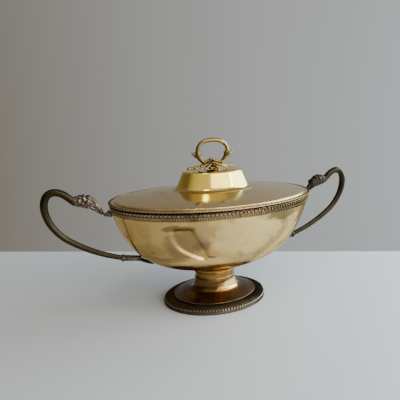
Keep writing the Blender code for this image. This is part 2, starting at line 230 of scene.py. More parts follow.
def even_on_oval(length, width, count):
    """Return evenly spaced places on an ellipse: (x, y, unit vector out, unit vector along)."""
    fine = np.linspace(0, 2 * math.pi, 7201)
    x, y = length * np.cos(fine), width * np.sin(fine)
    run = np.concatenate([[0], np.cumsum(np.hypot(np.diff(x), np.diff(y)))])
    places = []
    for t in np.interp(np.arange(count) / count * run[-1], run, fine):
        outward = math.atan2(math.sin(t) / width, math.cos(t) / length)
        out = Vector((math.cos(outward), math.sin(outward), 0))
        places.append((length * math.cos(t), width * math.sin(t), out, UP.cross(out)))
    return places


def ball(centre, radii, axes=None, rows=8, columns=12):
    """Return an ellipsoid; axes are its three unit directions."""
    axes = axes or (Vector((1, 0, 0)), Vector((0, 1, 0)), UP)
    centre, pole = Vector(centre), axes[2] * radii[2]
    points = [centre + pole]
    for i in range(1, rows):
        tilt = math.pi * i / rows
        wide, high = radii[0] * math.sin(tilt), radii[1] * math.sin(tilt)
        points += ring_round(centre + pole * math.cos(tilt), *axes[:2], wide, high, columns)
    points.append(centre - pole)
    faces = []
    for j in range(columns):
        k = (j + 1) % columns
        faces.append((0, 1 + j, 1 + k))
        for i in range(rows - 2):
            a, b = 1 + i * columns, 1 + (i + 1) * columns
            faces.append((a + j, b + j, b + k, a + k))
        last = 1 + (rows - 2) * columns
        faces.append((last + j, len(points) - 1, last + k))
    return [tuple(p) for p in points], faces


def bar(path, radii, flatten=1, sides=BAR_SIDES, shape=None, round_ends=True):
    """Return a bar round a path.

    radii holds the half height at each point, flatten the half width as a share of it, and
    shape(angle, share of the way) scales the section.
    """
    path = [Vector(p) for p in path]
    radii = list(radii)
    if round_ends:
        path, radii = rounded(path, radii)
    rings, last_across = [], Vector((0, 1, 0))
    for i, (centre, ahead) in enumerate(zip(path, headings(path))):
        across = Vector((-ahead.y, ahead.x, 0))
        across = last_across if across.length < 1e-5 else across.normalized()
        if across.dot(last_across) < 0:
            across = -across
        last_across = across
        upward = ahead.cross(across).normalized()
        ring = ring_round(centre, across, upward, radii[i] * flatten, radii[i], sides)
        if shape:
            share = i / (len(path) - 1)
            ring = [centre.lerp(p, shape(a, share)) for p, a in zip(ring, turns(sides))]
        rings.append(ring)
    return skin(rings)


# A bar's end is a low dome: how high it is as a share of the radius, and its rings.
END_RISE = 0.55
END_ANGLES = tuple(math.radians(a) for a in (30, 58, 80))


def rounded(path, radii):
    """Return a path and radii with a low dome added at each end."""
    for _ in range(2):
        tip, radius = path[-1], radii[-1]
        ahead = (tip - path[-2]).normalized()
        path = path + [tip + ahead * radius * END_RISE * math.sin(a) for a in END_ANGLES]
        radii = radii + [radius * math.cos(a) for a in END_ANGLES]
        path, radii = path[::-1], radii[::-1]
    return path, radii


# ---------------- finishes


class Nodes:
    """A short way to write the node tree of a material or a world."""

    def __init__(self, owner, place="Object"):
        owner.use_nodes = True
        self.tree = owner.node_tree
        self.place = self.new("TexCoord").outputs[place]

    def new(self, kind, **inputs):
        """Return a new node of a kind with its inputs set."""
        node = self.tree.nodes.new("ShaderNode" + kind)
        for name, value in inputs.items():
            node.inputs[name].default_value = value
        return node

    def link(self, source, target):
        self.tree.links.new(source, target)

    def mapped(self, kind="POINT", **inputs):
        """Return the place on the object, moved and scaled per axis."""
        node = self.new("Mapping", **inputs)
        node.vector_type = kind
        self.link(self.place, node.inputs["Vector"])
        return node.outputs["Vector"]

    def axis(self, number):
        """Return the place along one axis: 0, 1 or 2."""
        node = self.new("SeparateXYZ")
        self.link(self.place, node.inputs[0])
        return node.outputs[number]

    def vector(self, operation, place, other=(0, 0, 0)):
        """Return a number made from a place, such as its length."""
        node = self.new("VectorMath")
        node.operation = operation
        node.inputs[1].default_value = other
        self.link(place, node.inputs[0])
        return node.outputs["Value"]

    def cloud(self, scale, detail=4, rough=0.55, distort=0):
        """Return noise; scale is a number or three, in cycles per metre."""
        node = self.new("TexNoise", Scale=1, Detail=detail, Roughness=rough, Distortion=distort)
        place = self.place
        if isinstance(scale, tuple):
            place = self.mapped(Scale=scale)
        else:
            node.inputs["Scale"].default_value = scale
        self.link(place, node.inputs["Vector"])
        return node.outputs["Fac"]

    def near(self, centre, reach):
        """Return 1 close to a place (mm) and 0 beyond a reach per axis, with a ragged edge."""
        place = self.mapped("TEXTURE", Location=[c * MM for c in centre],
                            Scale=[r * MM for r in reach])
        shift = self.swing(self.cloud(60, detail=6, rough=0.7), 1.4)
        away = self.math("ADD", self.vector("LENGTH", place), shift)
        return self.remap(away, 0.6, 1, 1, 0)

    def remap(self, value, low, high, to_low=0, to_high=1, kind="SMOOTHSTEP"):
        """Return a value moved from one range to another."""
        node = self.new("MapRange")
        node.interpolation_type = kind
        for socket, number in zip(node.inputs[1:5], (low, high, to_low, to_high)):
            socket.default_value = number
        self.link(value, node.inputs[0])
        return node.outputs[0]

    def math(self, operation, first, second):
        """Return a sum, product or the like of values or numbers."""
        node = self.new("Math")
        node.operation = operation
        for socket, value in zip(node.inputs, (first, second)):
            if isinstance(value, (int, float)):
                socket.default_value = value
            else:
                self.link(value, socket)
        return node.outputs[0]

    def swing(self, noise_value, depth):
        """Return noise moved to lie round 0, as deep as given."""
        return self.math("MULTIPLY", self.math("SUBTRACT", noise_value, 0.5), depth)

    def mix(self, amount, first, second):
        """Return a colour between two colours, either of which may be a socket."""
        node = self.new("Mix")
        node.data_type = "RGBA"
        self.link(amount, node.inputs["Factor"])
        for socket, value in zip((node.inputs[6], node.inputs[7]), (first, second)):
            if isinstance(value, tuple):
                socket.default_value = (*value, 1)
            else:
                self.link(value, socket)
        return node.outputs[2]

    def between(self, low, high, soft=0.25):
        """Return 1 between two heights on the object (mm) and 0 beyond them."""
        level = self.axis(2)
        return self.math("MULTIPLY", self.remap(level, low * MM, (low + soft) * MM),
                         self.remap(level, (high - soft) * MM, high * MM, 1, 0))

    def crevices(self, distance):
        """Return 1 in the open and 0 deep in a crevice of that size (mm)."""
        node = self.new("AmbientOcclusion", Distance=distance * MM)
        node.samples = 8
        node.only_local = True
        return node.outputs["AO"]

    def height(self, *layers):
        """Return a normal bent by bumps: pairs of a height and its depth in millimetres."""
        normal = None
        for value, depth in layers:
            node = self.new("Bump", Strength=1, Distance=depth * MM)
            self.link(value, node.inputs["Height"])
            if normal:
                self.link(normal, node.inputs["Normal"])
            normal = node.outputs["Normal"]
        return normal


def metal(name, clean, stained, stain=(0.5, 0.7), stain_scale=25, rough=(0.18, 0.32),
          brush=(25, 25, 1400), brush_depth=0.003, waves=0, specks=0.3,
          dirt_and_shade=None, dirt_and_shade_reach=2, wear=None, marks=(), shadow_band=None, edge=None):
    """Return an aged metal finish.

    clean and stained are the metal's colours, stain where the stain noise starts and ends,
    rough the roughness range, brush the fineness of the brushing (along each axis), waves the
    depth (mm) of the slow unevenness of beaten sheet, specks how strong the dark specks are,
    dirt the colour painted into crevices up to dirt_and_shade_reach (mm), partly real tarnish and
    partly
    painted shade, wear the colour of rubbed high places, marks single patches of colour:
    (centre, reach, colour, strength), some of them stains, the others painted shade and painted
    highlights, grime the heights (mm) between which the metal is painted black as a shadow,
    and edge the tint of its glancing shine.
    """
    material = bpy.data.materials.new(name)
    n = Nodes(material)
    inputs = n.tree.nodes["Principled BSDF"].inputs
    inputs["Metallic"].default_value = 1
    if edge:
        inputs["Specular Tint"].default_value = (*edge, 1)
    streaks = n.cloud(brush, detail=3, rough=0.6)
    patches = n.cloud(stain_scale, detail=6, rough=0.62, distort=0.6)
    fine = n.cloud(stain_scale * 14, detail=5, rough=0.7)
    blend = n.math("ADD", patches, n.swing(fine, 0.35))
    amount = n.remap(blend, stain[0], stain[1])
    colour = n.mix(amount, clean, stained)
    if specks:
        spots = n.remap(n.cloud(420, detail=2, rough=0.5), 0.66, 0.72, 0, specks)
        colour = n.mix(spots, colour, tuple(0.35 * c for c in stained))
    if dirt_and_shade or wear:
        rim = n.crevices(dirt_and_shade_reach)
    if wear:
        high = n.math("MULTIPLY", n.remap(rim, 0.8, 0.98), n.remap(fine, 0.42, 0.6))
        colour = n.mix(high, colour, wear)
    # Crevices get a darker colour: partly real tarnish, partly painted shade.
    if dirt_and_shade:
        colour = n.mix(n.remap(rim, 0.45, 0.88, 1, 0), colour, dirt_and_shade)
    # Each mark paints a patch of colour: some are stains, the others painted shade and painted
    # highlights.
    for centre, reach, mark, strength in marks:
        colour = n.mix(n.math("MULTIPLY", n.near(centre, reach), strength), colour, mark)
    # Painted shadow: the metal is coloured black between two heights.
    if shadow_band:
        colour = n.mix(n.between(*shadow_band), colour, SHADOW_BLACK)
    n.link(colour, inputs["Base Color"])
    smear = n.remap(n.cloud(stain_scale * 2.3, detail=5), 0.3, 0.7, rough[0], rough[1])
    grain = n.math("ADD", smear, n.swing(streaks, rough[1] * 0.5))
    total = n.math("ADD", grain, n.math("MULTIPLY", amount, rough[1] * 0.4))
    n.link(total, inputs["Roughness"])
    layers = [(streaks, brush_depth), (fine, brush_depth * 1.2)]
    if waves:
        layers.append((n.cloud(34, detail=1, distort=0.4), waves))
    n.link(n.height(*layers), inputs["Normal"])
    return material


# The black of painted shadow.
SHADOW_BLACK = (0.006, 0.005, 0.004)
# Marks on the bowl: centre, reach, colour and strength. A few are stains; the rest are painted
# shade and painted highlights, as noted by each.
BOWL_STAINS_AND_PAINTED_LIGHT = (
    # Painted shade over the left half, which also carries the real brown staining.
    ((-95, -60, 95), (110, 70, 75), (0.52, 0.32, 0.1), 0.6),
    # Painted highlight along the dent's lower edge.
    ((-40, -60, 74), (38, 60, 11), (1, 0.69, 0.28), 0.65),
    # Broad painted highlight on the front, right of the dent.
    ((8, -78, 108), (46, 60, 30), (0.97, 0.72, 0.3), 0.6),
    # Painted shade low on the front right.
    ((24, -66, 75), (36, 60, 9), (0.52, 0.38, 0.2), 0.6),
    # Painted shade inside the dent.
    ((-60, -66, 101), (28, 60, 23), (0.26, 0.165, 0.07), 0.75),
    # Painted shade along the dent's upper edge.
    ((-68, -70, 120.8), (20, 60, 5.4), (0.16, 0.1, 0.04), 0.75),
    # A purple-brown smudge, then a thin crack.
    ((-42, -72, 98), (10, 60, 9), (0.22, 0.13, 0.08), 0.55),
    ((-29, -68, 83), (6, 60, 2.6), (0.12, 0.07, 0.03), 0.6),
    # Painted shade right of the dent.
    ((-42, -76, 116), (9, 60, 16), (0.48, 0.33, 0.15), 0.6),
    # Stains: a brown blot and a small dark spot.
    ((-93, -42, 90), (17, 60, 12), (0.38, 0.24, 0.1), 0.6),
    ((-91, -42, 88.5), (2.4, 60, 1.8), (0.14, 0.12, 0.05), 0.6),
    # A darker band low on the left.
    ((-78, -52, 79), (27, 60, 5), (0.26, 0.16, 0.1), 0.6),
    # Painted shade on the underside.
    ((-60, -40, 62), (26, 60, 7), (0.26, 0.15, 0.06), 0.6),
    ((20, -50, 61), (26, 60, 5), (0.22, 0.17, 0.07), 0.6),
    # An olive patch just under the rim at the front right.
    ((58, -75, 126.5), (36, 60, 8.5), (0.12, 0.1, 0.045), 0.85),
    # Painted shade over the right end.
    ((108, -34, 105), (44, 70, 50), (0.42, 0.3, 0.125), 0.8),
)
# The fold across the bowl's right end gets painted shade on its left side and a painted highlight
# on its right.
FOLD_PAINTED_SHADE_AND_HIGHLIGHT = tuple(
    stain for x, z in np.linspace((28, 75), (76, 114), 10)
    for stain in (((x, -66, z + 3), (6, 60, 6), (0.34, 0.26, 0.14), 0.55),
                  ((x + 9, -62, z - 5), (7, 60, 7), (1, 0.78, 0.24), 0.6))
)
BOWL_METAL = metal(
    "bowl_brass", (0.8, 0.55, 0.2), (0.42, 0.27, 0.1), stain=(0.44, 0.7), stain_scale=36,
    rough=(0.12, 0.24), marks=BOWL_STAINS_AND_PAINTED_LIGHT + FOLD_PAINTED_SHADE_AND_HIGHLIGHT, edge=(0.88, 0.79, 0.6)
)
# The rim's top is painted black as the shadow under the lid's edge.
RIM_METAL = metal(
    "rim_brass", (0.3, 0.21, 0.105), (0.12, 0.08, 0.036), dirt_and_shade=(0.012, 0.008, 0.004),
    dirt_and_shade_reach=3, brush_depth=0.001, shadow_band=(136.7, 138.6), edge=(0.42, 0.35, 0.24),
    marks=(((95, -40, 133), (90, 120, 40), (0.085, 0.07, 0.04), 0.8),)
)
LID_METAL = metal(
    "lid_brass", (0.73, 0.55, 0.275), (0.52, 0.385, 0.17), stain=(0.45, 0.8), rough=(0.13, 0.22),
    brush=(14, 1500, 300), waves=0.05
)
# The lid edge's underside is painted black as the shadow over the rim.
LID_EDGE_METAL = metal(
    "lid_edge_brass", (0.42, 0.3, 0.2), (0.26, 0.175, 0.11), dirt_and_shade=(0.02, 0.014, 0.008),
    brush_depth=0.001, shadow_band=(137, 139.7), edge=(0.46, 0.37, 0.26),
    marks=(((95, -40, 140), (95, 120, 40), (0.2, 0.155, 0.085), 0.8),)
)
# Its first mark is painted shade on the dome's front left.
DOME_METAL = metal(
    "dome_brass", (0.87, 0.685, 0.165), (0.73, 0.54, 0.12), stain=(0.5, 0.85), rough=(0.04, 0.09),
    brush=(30, 30, 1100), brush_depth=0.001, waves=0.03, specks=0.1,
    marks=(((-16, -34, 161), (22, 60, 20), (0.7, 0.5, 0.09), 0.7),
           ((0, 0, 149.6), (200, 200, 2.6), (0.62, 0.46, 0.2), 0.85))
)
# Its marks are painted shade, on the left and low down round the knot.
FINIAL_METAL = metal(
    "finial_brass", (0.335, 0.237, 0.08), (0.18, 0.12, 0.042), rough=(0.24, 0.34), brush=60,
    brush_depth=0.0002, specks=0, dirt_and_shade=(0.035, 0.02, 0.008), dirt_and_shade_reach=3,
    marks=(((-24, 0, 194), (26, 60, 34), (0.15, 0.095, 0.036), 0.5),
           ((0, 0, 186), (60, 60, 9), (0.15, 0.09, 0.034), 0.6))
)
# Its marks are painted light on the stem: painted shade on the front left, a painted dark line,
# and a painted golden highlight on the right below that line.
PEDESTAL_METAL = metal(
    "pedestal_brass", (0.31, 0.165, 0.048), (0.12, 0.058, 0.018), stain=(0.42, 0.66),
    rough=(0.08, 0.15), brush=(40, 40, 700),
    marks=(((-28, -20, 22), (40, 60, 16), (0.1, 0.055, 0.018), 0.9),
           ((20, -26, 28.2), (44, 60, 2), (0.08, 0.04, 0.012), 1),
           ((22, -26, 22.5), (26, 60, 7), (1, 0.66, 0.21), 1))
)
# A darker copy of the stem's brass for the plateau: painted shade.
PLATEAU_SHADED_METAL = metal(
    "plateau_brass_painted_shade", (0.17, 0.105, 0.055), (0.085, 0.05, 0.024), stain=(0.4, 0.66),
    rough=(0.2, 0.3), brush=40
)
BORDER_METAL = metal(
    "border_patina", (0.085, 0.066, 0.042), (0.038, 0.028, 0.017), rough=(0.45, 0.6), brush=300,
    dirt_and_shade=(0.016, 0.012, 0.008), dirt_and_shade_reach=1.2, edge=(0.26, 0.24, 0.21),
    marks=(((60, -6, 6), (60, 60, 30), (0.022, 0.017, 0.012), 0.85),)
)
# Its mark is painted shade over the beads on the left.
FOOT_BEAD_METAL = metal(
    "foot_bead_brass", (0.4, 0.33, 0.24), (0.12, 0.09, 0.06), rough=(0.14, 0.22),
    dirt_and_shade=(0.016, 0.012, 0.008), dirt_and_shade_reach=1.2,
    marks=(((-58, -20, 4), (66, 80, 30), (0.085, 0.066, 0.044), 0.8),)
)
BAR_METAL = metal(
    "handle_bar_bronze", (0.042, 0.033, 0.017), (0.028, 0.021, 0.011), stain=(0.35, 0.75),
    rough=(0.2, 0.3), brush=60, brush_depth=0.0002, specks=0,
    marks=(((196, 0, 112), (34, 30, 46), (0.04, 0.026, 0.019), 0.8),)
)
# Its marks are painted shade on the right-hand head and cuff.
HEAD_METAL = metal(
    "handle_head_bronze", (0.07, 0.056, 0.04), (0.038, 0.031, 0.022), rough=(0.3, 0.42),
    brush=200, brush_depth=0.001, dirt_and_shade=(0.012, 0.01, 0.007), wear=(0.25, 0.185, 0.148),
    marks=(((160, 0, 146), (40, 40, 34), (0.022, 0.018, 0.013), 0.8),
           ((112, 0, 72), (30, 30, 16), (0.022, 0.018, 0.013), 0.8))
)
BRACKET_METAL = metal(
    "bracket_brass", (0.14, 0.1, 0.055), (0.07, 0.05, 0.028), rough=(0.2, 0.3), brush=200,
    dirt_and_shade=(0.03, 0.018, 0.01)
)
FASTENER_METAL = metal("fastener_brass", (0.8, 0.54, 0.22), (0.42, 0.24, 0.08), rough=(0.25, 0.35))


# ---------------- bowl

# A knock in the bowl's front has left a flat: its outline as (x, z), how gently each side of
# it falls in, and its depth.
DENT_OUTLINE = (
    (-80, 124), (-79.5, 113), (-75.5, 103), (-67, 92), (-53, 82.5), (-36, 75),
    (-22.5, 78.5), (-36.3, 101.7), (-51, 124.5),
)
DENT_SIDES = (8, 6, 5.5, 5.5, 6, 9, 9, 9.5, 9)
DENT_DEPTH = 4.6
# A soft fold stands up across its right end: the fold's two ends as (x, z), and its size.
FOLD = ((36, 78), (88, 121))
FOLD_HEIGHT = 1.7
FOLD_REACH = 5
# The beaten sheet is never quite true anywhere.
WAVE_DEPTH = 0.55
WAVE_LENGTH = 48


def bowl_ring(inset, angle):
    """Return the bowl's oval at an angle (degrees) round its section, moved in by inset."""
    turn = math.radians(angle)
    spread = math.cos(turn) ** (2 / BOWL_FULLNESS)
    depth = RIM_Z - BOWL_LOW - inset
    z = RIM_Z - depth * math.sin(turn) ** (2 / BOWL_BELLY)
    ring = oval((BOWL_LENGTH - inset) * spread, (BOWL_WIDTH - inset) * spread, z, BOWL_SIDES)
    return knocked(ring)


def fade(value, low, high):
    """Return 0 at low, 1 at high and a smooth step between, for numbers or arrays."""
    share = np.clip((value - low) / (high - low), 0, 1)
    return share * share * (3 - 2 * share)


def beside(start, end, x, z):
    """Return how far places lie to the left of a line, all seen from the front."""
    (ax, az), (bx, bz) = start, end
    return ((bx - ax) * (z - az) - (bz - az) * (x - ax)) / math.hypot(bx - ax, bz - az)


def dent(x, z):
    """Return the depth of the dent."""
    depth = np.full(len(x), DENT_DEPTH)
    ends = DENT_OUTLINE[1:] + DENT_OUTLINE[:1]
    for start, end, soft in zip(DENT_OUTLINE, ends, DENT_SIDES):
        depth = depth * fade(beside(start, end, x, z), 0, soft)
    return depth


def fold(x, z):
    """Return the height of the fold, which dies away towards the foot and the rim."""
    height = FOLD_HEIGHT * np.exp(-((beside(*FOLD, x, z) / FOLD_REACH) ** 2))
    return height * fade(z, 66, 84) * (1 - fade(z, 108, 126))


def knocked(ring):
    """Return a ring of the bowl pushed in by the dent and the waves, which spare its edges."""
    x, y, z = ring.T
    depth = np.where(y < 0, dent(x, z) - fold(x, z), 0)
    waves = np.array([noise.noise(Vector(p) / WAVE_LENGTH) for p in ring])
    free = fade(z, BOWL_LOW + 2, BOWL_LOW + 16) * (1 - fade(z, 112, 129))
    depth = depth + (0.5 + waves) * WAVE_DEPTH * free
    out = np.stack([x / BOWL_LENGTH ** 2, y / BOWL_WIDTH ** 2, 0 * z], axis=1)
    out /= np.maximum(np.linalg.norm(out, axis=1, keepdims=True), 1e-9)
    return ring - out * depth[:, None]


def bowl_spread(z):
    """Return the outside size of the bowl at a height, as a share of the rim's."""
    depth = (RIM_Z - z) / (RIM_Z - BOWL_LOW)
    return (1 - depth ** BOWL_BELLY) ** (1 / BOWL_FULLNESS)


def off_wall(reach, z):
    """Return an oval that stands off the bowl's wall by reach."""
    spread = bowl_spread(z)
    return oval(BOWL_LENGTH * spread + reach, BOWL_WIDTH * spread + reach, z)


def along_wall(reach, z, count):
    """Return evenly spaced places that stand off the bowl's wall by reach."""
    spread = bowl_spread(z)
    return even_on_oval(BOWL_LENGTH * spread + reach, BOWL_WIDTH * spread + reach, count)


def make_bowl():
    """Make the beaten bowl with its rounded lip."""
    angles = np.linspace(*SECTION_ANGLES, SECTION_RINGS)
    inside = [bowl_ring(BOWL_WALL, a) for a in angles[::2]]
    outside = [bowl_ring(0, a) for a in angles]
    half = BOWL_WALL / 2
    lip = [
        oval(BOWL_LENGTH + reach, BOWL_WIDTH + reach, z, BOWL_SIDES)
        for reach, z in arc((-half, RIM_Z - half), half, 180, 0, 6)
    ]
    piece("bowl", [skin(inside[::-1] + lip + outside)], BOWL_METAL, "tureen",
          ["bowl_shell"])


def make_moulding():
    """Make the band of beads over a strip of leaves that runs round the rim."""
    section = smooth(
        ((0.1, 137.4), (0.3, 137.4), (0.35, 136.4), (0.3, 135), (0.4, 134), (0.9, 133.7),
         (0.85, 133.4), (0.4, 133.1), (0.4, 130), (0.7, 129.5), (0.5, 129.15), (0.1, 129.15)),
        3,
    )
    parts = [skin([off_wall(reach, z) for reach, z in section], closed_section=True)]
    sunk = MOULDING_LENGTH - BOWL_LENGTH - RIM_BEAD_RADIUS
    for x, y, _, _ in along_wall(sunk, RIM_BEAD_Z, RIM_BEADS):
        parts.append(ball((x, y, RIM_BEAD_Z), (RIM_BEAD_RADIUS,) * 3, rows=10, columns=14))
    piece("rim_beading", parts, RIM_METAL, "tureen", ["bowl_rim_moulding"])

    leaves = []
    for x, y, out, along in along_wall(0.5, LEAF_Z, LEAVES):
        lean = (UP * 0.85 + along * 0.5).normalized()
        axes = (out, lean.cross(out), lean)
        leaves.append(ball((x, y, LEAF_Z), LEAF_RADII, axes, columns=8))
    piece("rim_leaf_strip", leaves, RIM_METAL, "tureen", [])


# ---------------- foot


def foot_oval(length, z):
    """Return an oval with the foot's aspect ratio."""
    return oval(length, length * FOOT_WIDTH / FOOT_LENGTH, z, SMALL_SIDES)


def make_collar():
    """Make the turned collar under the bowl."""
    collar = smooth(
        ((29.6, COLLAR_TOP), (30.5, COLLAR_TOP - 0.3), (COLLAR_LENGTH, 49.2), (30.6, 47.6),
         (29.2, 46), (27.4, 44.6), (26.6, 42.8), (26.6, 41.2), (27.2, 40.3), (27.8, 39.9),
         (27.9, 39.2), (27.7, 38.5), (27.2, 38.3)),
        4,
    )
    parts = [skin([foot_oval(a, z) for a, z in collar])]
    piece("collar", parts, PEDESTAL_METAL, "tureen", ["pedestal_collar"])


# The stem's polished metal ends where it has spread to this half length; beyond it the plateau
# takes a darker copy of the brass, which is painted shade.
STEM_SPREAD = 35


def make_pedestal():
    """Make the hollow stem that flares out to a plateau with a rolled lip."""
    lip_radius = 0.9
    lip_centre = (PLATEAU_LENGTH - lip_radius, 9.5)
    outside = smooth(
        ((26.2, STEM_TOP), (26.6, STEM_TOP - 0.4), (26.5, 36), (26.4, 33.6), (26.8, 32.4),
         (27.4, 31.8), (27.3, 31.1), (27.3, 30.4), (27.9, 27.2), (28.6, 24), (29.5, 21),
         (31, 18.2), (33.6, 16), (37.8, 14.4), (42.8, 13.3), (49, 11.9), (53.8, 10.6)),
        4,
    )
    inside = smooth(
        ((54.4, PLATEAU_LOW + 0.3), (53.6, 9.6), (46, 11.2), (37, 12.6), (32, 14.4),
         (28.9, 18.4), (26.9, 24), (25, 34), (24.6, 36.4)),
        4,
    )
    section = [*outside, *arc(lip_centre, lip_radius, 100, -70, 8), *inside]
    rings = [foot_oval(a, z) for a, z in section]
    ends = [k for k, (a, _) in enumerate(section) if a > STEM_SPREAD]
    stem = rings[:ends[0] + 1] + rings[ends[-1]:]
    piece("stem", [skin(stem)], PEDESTAL_METAL, "tureen", ["pedestal"])
    plateau = rings[ends[0]:ends[-1] + 1]
    piece("plateau", [skin(plateau, closed_section=True)], PLATEAU_SHADED_METAL, "tureen", [])


def make_border():
    """Make the wide border the tureen stands on, with its row of beads and outer lip."""
    edge = FOOT_LENGTH
    section = [(56, 0), (edge - 1, 0)]
    section += arc((edge - 1, 1), 1, -90, 70, 7)
    section += [(edge - 1.3, 2.7), (edge - 2, 3.3), (edge - 2.2, 4.4), (edge - 2, 5.5)]
    section += arc((edge - 2.5, 6.1), 0.7, 0, 80, 4)
    section += [(66, 7.4), (63.5, 8), (60.5, 8.3), (58, 8.3), (56.4, 8.2)]
    section += [(53.8, 8.2), (53.8, 7.4), (56, 5.4)]
    parts = [skin([foot_oval(a, z) for a, z in section], closed_section=True)]
    piece("foot_beaded_border", parts, BORDER_METAL, "tureen", ["foot_border"])
    inset = FOOT_BEAD_RADIUS + 0.2
    parts = []
    for x, y, _, _ in even_on_oval(FOOT_LENGTH - inset, FOOT_WIDTH - inset, FOOT_BEADS):
        parts.append(ball((x, y, FOOT_BEAD_Z), (FOOT_BEAD_RADIUS,) * 3, rows=9, columns=12))
    piece("foot_beads", parts, FOOT_BEAD_METAL, "tureen", [])


# ---------------- handles

# Handle seen from the front: (distance from the middle, height) of its bar's centre line.
HANDLE_PATH = (
    (168, 145.6), (171.6, 148.5), (180.8, 156.4), (189.8, 159.3), (197.4, 156.2), (201.4, 146.7),
    (200.6, 133.5), (195, 119.6), (183.6, 105.4), (165, 92.1), (143.2, 80.7), (121.8, 72.8),
    (117, 71.4),
)
HANDLE_RADIUS = 4.25
HANDLE_END_RADIUS = 2.8


def in_plane(side, x, z, y=0):
    """Return a point of the handle's plane on the left (-1) or right (1) side."""
    return Vector((side * x, y, z))


def curve(side, points, steps=5):
    """Return a smooth curve through (x, z) or (x, z, y) points on one side."""
    return smooth([in_plane(side, *point) for point in points], steps)


def grooved(angle, share):
    """Return the bar's section: a band between two grooves runs along both faces."""
    strength = min(1, max(0, (share - 0.3) / 0.2))
    off = math.degrees(math.acos(min(1, abs(math.cos(angle)))))
    groove = math.exp(-(((off - 34) / 12) ** 2))
    band = math.exp(-((off / 16) ** 2))
    return 1 + strength * (0.02 * band - 0.13 * groove)


def make_bar(name, side):
    """Make the looped bar of a handle."""
    path = curve(side, HANDLE_PATH, 16)
    radii = taper(path, (0, 0.45, 1), (HANDLE_RADIUS, HANDLE_RADIUS, HANDLE_END_RADIUS))
    parts = [bar(path, radii, shape=grooved, sides=48, round_ends=False)]
    piece("bar_" + name, parts, BAR_METAL, "tureen", ["handle_bar_" + name], sharp=85)


def upright_rings(side, sections):
    """Return rings round (x, z, half height, half width) sections of the handle's plane."""
    centres = [in_plane(side, x, z) for x, z, _, _ in sections]
    across, rings = Vector((0, 1, 0)), []
    for centre, ahead, (_, _, high, wide) in zip(centres, headings(centres), sections):
        upward = across.cross(ahead).normalized() * -side
        rings.append(ring_round(centre, across, upward, wide, high, 24))
    return rings


# The head from the neck forwards: (x, z, half height, half width) of its sections.
HEAD_SPINE = (
    (171.2, 148.2, 4.3, 4.2), (167, 147.2, 5.6, 5.2), (162.2, 147, 6.9, 5.9),
    (156.6, 145.8, 7.2, 6.1), (151.6, 143.6, 6.9, 5.7), (147.8, 140.8, 5.2, 4.5),
)
# The ridges over and under each eye: (x, z, y) of the points, and the radius.
HEAD_RIDGES = (
    (((152.4, 147.4, 4.7), (149, 147, 4.9), (145.8, 144.6, 3.4)), 0.8),
    (((156, 140.2, 4.6), (151.4, 139, 4.6), (147.6, 137.4, 3)), 0.75),
)
# Rolls of feathers round the back of the head, from the neck forwards: (x, z, half height,
# half width, width of the roll, lobes in the roll).
FEATHER_ROLLS = (
    (168.4, 147.6, 3.9, 3.7, 5, 4),
    (164.2, 147.2, 5.3, 4.7, 5.6, 5),
    (159.6, 146.7, 6.2, 5.3, 5.8, 5),
    (155, 145.4, 6.2, 5.2, 5.4, 5),
)
LOBE_RISE = 2.1


def make_head(name, side):
    """Make the bird's head: smooth cheeks and crown, with rolls of feathers behind them."""
    parts = [skin(upright_rings(side, smooth(HEAD_SPINE, 4)))]
    parts.append(ball(in_plane(side, 150.4, 142.8), (5.2, 5.4, 6.2), rows=14, columns=20))
    parts += feathers(side)
    for face in (-1, 1):
        eye = in_plane(side, 148.2, 144.2, face * 4.7)
        parts.append(ball(eye, (1.3, 1, 1.3), rows=10, columns=14))
        for points, radius in HEAD_RIDGES:
            path = curve(side, [(x, z, face * y) for x, z, y in points])
            parts.append(bar(path, [radius] * len(path), sides=10))
    piece("head_" + name, parts, HEAD_METAL, "tureen",
          ["handle_head_" + name], voxel=0.24, smoothing=6)


def feathers(side):
    """Return the rolls of soft curled lobes that make the ruff."""
    lobes = []
    for number, (x, z, high, wide, length, count) in enumerate(FEATHER_ROLLS):
        for k in range(count):
            turn = 2 * math.pi * (k + 0.5 * (number % 2)) / count
            out = Vector((0, math.cos(turn), math.sin(turn)))
            centre = in_plane(side, x - 1.6 * math.sin(turn), z + high * math.sin(turn),
                              wide * math.cos(turn))
            along = (Vector((side, 0, 0)) + out * 0.25).normalized()
            across = along.cross(out).normalized()
            normal = across.cross(along).normalized()
            size = 0.85 + 0.15 * math.sin(turn)
            radii = (length * 0.5 * size, wide * 0.85 * size, LOBE_RISE * size)
            lobes.append(ball(centre, radii, (along, across, normal), rows=12, columns=14))
    return lobes


# The two mandibles: (x, z) points, radii at shares of the way, and how flat each is.
MANDIBLES = (
    (((148.6, 142.2), (145.6, 139.4), (142.2, 135.4), (139.6, 131.2), (138, 128.6)),
     (0, 0.3, 0.7, 1), (3.9, 2.9, 1.7, 0.9), 0.95),
    (((150.4, 138.2), (146.8, 135.2), (143.2, 131.9), (140.2, 129)),
     (0, 0.4, 1), (2.6, 1.7, 0.8), 1),
)
# The bracket's arm and the leaf that curls up from it, in the same way.
BRACKET_BARS = (
    (((137.2, 128.2), (134.6, 128.2), (132, 128.2), (129.8, 128)),
     (0, 0.4, 1), (1.9, 2.4, 3.3), 1.35),
    (((135, 129), (133.4, 130), (132.2, 131.6), (131.6, 133.4)),
     (0, 0.5, 1), (1.6, 1.5, 0.9), 2),
)


def tapered_bars(side, shapes):
    """Return the bars that MANDIBLES or BRACKET_BARS describe."""
    bars = []
    for points, shares, radii, flatten in shapes:
        path = curve(side, points)
        bars.append(bar(path, taper(path, shares, radii), flatten=flatten))
    return bars


